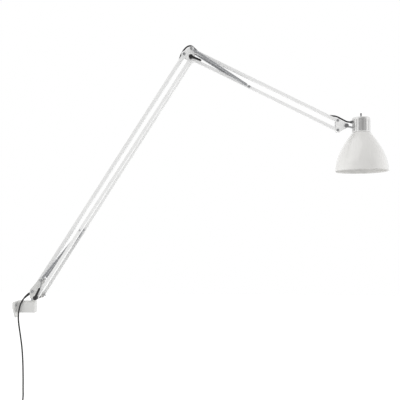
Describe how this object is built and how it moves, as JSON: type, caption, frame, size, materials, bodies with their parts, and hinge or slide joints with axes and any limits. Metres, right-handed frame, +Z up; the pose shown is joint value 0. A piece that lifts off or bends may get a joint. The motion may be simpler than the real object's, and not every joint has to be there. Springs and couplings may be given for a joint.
{
  "type": "articulating wall lamp",
  "caption": "Wall-mounted lamp with a swivel bracket, two spring-balanced parallel arms and a bell shade on a tilting, turning head",
  "frame": {"origin": "centre of the wall plate's back face, on the wall, midway between the arm pivots' sides", "axes": "+X away from the wall, +Z up, +Y to the right when facing the wall's left-to-right reversed view; arms in the plane Y=0"},
  "size_m": [1.1777, 0.16, 1.3486],
  "materials": {
    "white_paint": "gloss",
    "shade_enamel": "gloss",
    "grey_casting": "satin",
    "steel": "satin",
    "spring_steel": "satin",
    "satin_metal": "satin",
    "black_plastic": "matte",
    "white_plastic": "matte",
    "black_cord": "matte",
    "brass": "satin"
  },
  "bodies": {
    "root": {"wall_plate": "grey_casting", "plate_screws": "steel", "bracket_arm": "grey_casting", "swivel_bushes": "white_plastic", "hanging_cord": "black_cord", "cord_coil": "black_cord", "cord_tie": "black_plastic", "plug": "black_plastic"},
    "swivel_head": {"swivel_head": "grey_casting", "swivel_spigot": "steel", "swivel_retaining_ring": "steel", "strain_relief": "black_plastic", "rear_pivot_screws": "steel", "base_axle": "steel", "base_axle_nut": "steel", "axle_spacers": "black_plastic", "tie_rods": "steel", "spring_anchors": "steel", "cord_base_bend": "black_cord"},
    "base_clamp_lever": {"base_clamp_lever": "black_plastic"},
    "lower_rear_arm": {"lower_rear_tube": "white_paint", "lower_rear_end_cap": "white_plastic", "cord_lower_run": "black_cord"},
    "lower_front_arms": {"lower_front_tube_near": "white_paint", "lower_front_tube_far": "white_paint", "lower_front_end_caps": "white_plastic", "lower_spring_pin": "steel", "lower_spring_near": "spring_steel", "lower_spring_far": "spring_steel"},
    "elbow": {"elbow_plates": "grey_casting", "elbow_rear_screws": "steel", "elbow_top_axle": "steel", "elbow_low_axle": "steel", "elbow_axle_nut": "steel", "cord_elbow_loop": "black_cord"},
    "elbow_clamp_lever": {"elbow_clamp_lever": "black_plastic"},
    "upper_top_bar": {"upper_top_tube": "white_paint", "upper_top_end_caps": "white_plastic", "cord_upper_run": "black_cord"},
    "upper_bottom_bar": {"upper_bottom_tube": "white_paint", "upper_bottom_end_caps": "white_plastic", "upper_spring_pin": "steel", "upper_spring_near": "spring_steel", "upper_spring_far": "spring_steel"},
    "head_link": {"head_link": "grey_casting", "head_pins": "steel", "friction_nut": "steel"},
    "friction_knob": {"friction_knob": "black_plastic"},
    "head_yoke": {"head_yoke": "steel", "stem_nut": "steel"},
    "lamp_head": {"socket_cap": "satin_metal", "cord_gland": "black_plastic", "switch_body": "black_plastic", "switch_nut": "satin_metal", "lampholder": "black_plastic", "lampholder_contacts": "brass", "shade_ring": "satin_metal", "shade": "shade_enamel", "cord_head_loop": "black_cord"},
    "toggle_lever": {"toggle_lever": "satin_metal"}
  },
  "joints": [
    {"name": "bracket_swivel", "type": "hinge", "parent": "root", "child": "swivel_head", "pos_m": [0.0567, 0, 0.03], "axis": [0, 0, 1], "range_deg": [-80, 80], "deforming": ["hanging_cord"]},
    {"name": "base_clamp", "type": "hinge", "parent": "swivel_head", "child": "base_clamp_lever", "pos_m": [0.08026, 0, 0.04207], "axis": [0, 1, 0], "range_deg": [-60, 50]},
    {"name": "lower_arm", "type": "hinge", "parent": "swivel_head", "child": "lower_rear_arm", "pos_m": [0.0567, 0, 0.0572], "axis": [0, 1, 0], "range_deg": [-27, 42], "deforming": ["cord_base_bend"]},
    {"name": "lower_front", "type": "hinge", "parent": "swivel_head", "child": "lower_front_arms", "pos_m": [0.08026, 0, 0.04207], "axis": [0, 1, 0], "range_deg": [-27, 42], "deforming": ["lower_spring_near", "lower_spring_far"]},
    {"name": "elbow_link", "type": "hinge", "parent": "lower_rear_arm", "child": "elbow", "pos_m": [0.54184, 0, 0.81288], "axis": [0, 1, 0], "range_deg": [-42, 27], "deforming": ["cord_elbow_loop"]},
    {"name": "elbow_clamp", "type": "hinge", "parent": "elbow", "child": "elbow_clamp_lever", "pos_m": [0.5654, 0, 0.79775], "axis": [0, 1, 0], "range_deg": [-60, 50]},
    {"name": "upper_arm", "type": "hinge", "parent": "elbow", "child": "upper_top_bar", "pos_m": [0.5654, 0, 0.82775], "axis": [0, 1, 0], "range_deg": [-47, 36], "deforming": ["cord_elbow_loop"]},
    {"name": "upper_bottom", "type": "hinge", "parent": "elbow", "child": "upper_bottom_bar", "pos_m": [0.5654, 0, 0.79775], "axis": [0, 1, 0], "range_deg": [-47, 36], "deforming": ["upper_spring_near", "upper_spring_far"]},
    {"name": "head_level", "type": "hinge", "parent": "upper_top_bar", "child": "head_link", "pos_m": [1.02078, 0, 0.59372], "axis": [0, 1, 0], "range_deg": [-36, 47], "deforming": ["cord_head_loop"]},
    {"name": "knob_turn", "type": "hinge", "parent": "head_link", "child": "friction_knob", "pos_m": [1.04698, 0, 0.57672], "axis": [0, 1, 0], "range_deg": [-90, 90]},
    {"name": "head_tilt", "type": "hinge", "parent": "head_link", "child": "head_yoke", "pos_m": [1.04698, 0, 0.57672], "axis": [0, 1, 0], "range_deg": [-60, 40], "deforming": ["cord_head_loop"]},
    {"name": "lamp_spin", "type": "hinge", "parent": "head_yoke", "child": "lamp_head", "pos_m": [1.04698, 0, 0.57672], "axis": [0.9703, 0, -0.2419], "range_deg": [-75, 75], "deforming": ["cord_head_loop"]},
    {"name": "switch_toggle", "type": "hinge", "parent": "lamp_head", "child": "toggle_lever", "pos_m": [1.09348, 0, 0.60312], "axis": [0, 1, 0], "range_deg": [-12, 12]}
  ],
  "couplings": [
    {"joint": "lower_front", "follows": "lower_arm", "ratio": 1},
    {"joint": "elbow_link", "follows": "lower_arm", "ratio": -1},
    {"joint": "upper_bottom", "follows": "upper_arm", "ratio": 1},
    {"joint": "head_level", "follows": "upper_arm", "ratio": -1}
  ]
}
